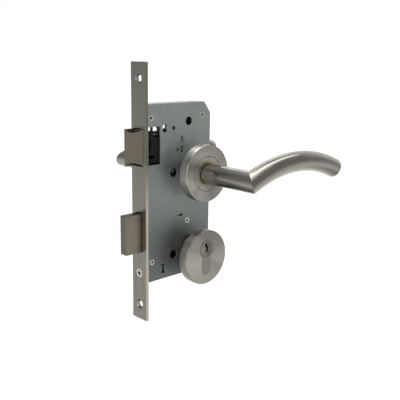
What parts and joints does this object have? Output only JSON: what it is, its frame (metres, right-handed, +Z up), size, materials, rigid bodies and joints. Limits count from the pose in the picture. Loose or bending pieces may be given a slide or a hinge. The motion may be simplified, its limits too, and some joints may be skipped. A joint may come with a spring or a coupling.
{
  "type": "mortise lock",
  "caption": "Mortise sash lock with bevelled latch, thrown deadbolt, euro profile cylinder and a pair of round-tube lever handles on round roses.",
  "frame": {"origin": "middle of the faceplate's back face, which seats on the door's edge, halfway between its two fixing screw holes", "axes": "+X from the faceplate into the door, +Y across the door from the visible case side to the other, +Z up along the faceplate"},
  "size_m": [0.1964, 0.19, 0.235],
  "materials": {
    "satin_stainless": "satin brushed stainless steel",
    "zinc_case": "zinc plated sheet steel, slightly mottled",
    "bolt_metal": "satin nickel plated",
    "dark_steel": "plain steel, lightly oiled",
    "spring_steel": "bright spring steel",
    "screw_steel": "yellow passivated zinc",
    "nickel": "satin nickel over brass",
    "brass": "plain brass",
    "black_nylon": "moulded black nylon",
    "white_nylon": "moulded natural nylon"
  },
  "bodies": {
    "lock": {"faceplate": "satin_stainless", "case_tray": "zinc_case", "case_cover": "zinc_case", "case_pillars": "dark_steel", "cover_screws": "screw_steel", "latch_spring": "spring_steel", "latch_guide_plate": "zinc_case", "latch_guide_strip": "spring_steel", "follower_bushes": "white_nylon", "follower_spring": "spring_steel", "spring_seat": "zinc_case", "detent_spring": "spring_steel", "detent_post": "dark_steel", "cylinder_body": "nickel", "driver_pins": "brass", "pin_springs": "spring_steel", "pin_hole_plugs": "brass", "cylinder_screw": "screw_steel", "front_rose_cover": "satin_stainless", "front_rose_ring": "satin_stainless", "front_rose_base": "dark_steel", "front_rose_bush": "white_nylon", "front_escutcheon_cover": "satin_stainless", "front_escutcheon_base": "dark_steel", "rear_rose_cover": "satin_stainless", "rear_rose_ring": "satin_stainless", "rear_rose_base": "dark_steel", "rear_rose_bush": "white_nylon", "rear_escutcheon_cover": "satin_stainless", "rear_escutcheon_base": "dark_steel"},
    "handle": {"follower": "dark_steel", "spindle": "dark_steel", "grub_screws": "dark_steel", "lever_inserts": "dark_steel", "neck_clips": "spring_steel", "front_lever_neck": "satin_stainless", "front_lever_grip": "satin_stainless", "front_lever_cap": "satin_stainless", "rear_lever_neck": "satin_stainless", "rear_lever_grip": "satin_stainless", "rear_lever_cap": "satin_stainless"},
    "latch": {"latch_head": "bolt_metal", "latch_carrier": "black_nylon", "latch_rod": "spring_steel", "latch_tail": "dark_steel"},
    "bolt": {"deadbolt": "bolt_metal", "bolt_tail": "zinc_case", "bolt_rivets": "spring_steel"},
    "front_key_plug": {"front_plug": "nickel", "front_plug_clip": "spring_steel", "front_key_pins": "brass"},
    "rear_key_plug": {"rear_plug": "nickel", "rear_plug_clip": "spring_steel", "rear_key_pins": "brass"},
    "cam_unit": {"cam": "dark_steel", "cam_clutch": "brass"}
  },
  "joints": [
    {"name": "handle_turn", "type": "hinge", "parent": "lock", "child": "handle", "pos_m": [0.052, 0, 0.018], "axis": [0, 1, 0], "range_deg": [0, 35], "stiffness_Nm_per_rad": 0.8, "springref_deg": -68.75, "deforming": ["follower_spring"]},
    {"name": "latch_slide", "type": "slide", "parent": "lock", "child": "latch", "axis": [1, 0, 0], "range_m": [0, 0.012], "deforming": ["latch_spring"]},
    {"name": "front_plug_turn", "type": "hinge", "parent": "lock", "child": "front_key_plug", "pos_m": [0.052, 0, -0.054], "axis": [0, 1, 0], "range_deg": [0, 360]},
    {"name": "rear_plug_turn", "type": "hinge", "parent": "lock", "child": "rear_key_plug", "pos_m": [0.052, 0, -0.054], "axis": [0, 1, 0], "range_deg": [0, 360]},
    {"name": "cam_turn", "type": "hinge", "parent": "lock", "child": "cam_unit", "pos_m": [0.052, 0, -0.054], "axis": [0, 1, 0], "range_deg": [0, 360]},
    {"name": "bolt_slide", "type": "slide", "parent": "lock", "child": "bolt", "axis": [1, 0, 0], "range_m": [0, 0.018]}
  ],
  "couplings": [
    {"joint": "latch_slide", "follows": "handle_turn", "m_per_rad": 0.019644},
    {"joint": "front_plug_turn", "follows": "bolt_slide", "rad_per_m": 349.06},
    {"joint": "cam_turn", "follows": "bolt_slide", "rad_per_m": 349.06}
  ]
}
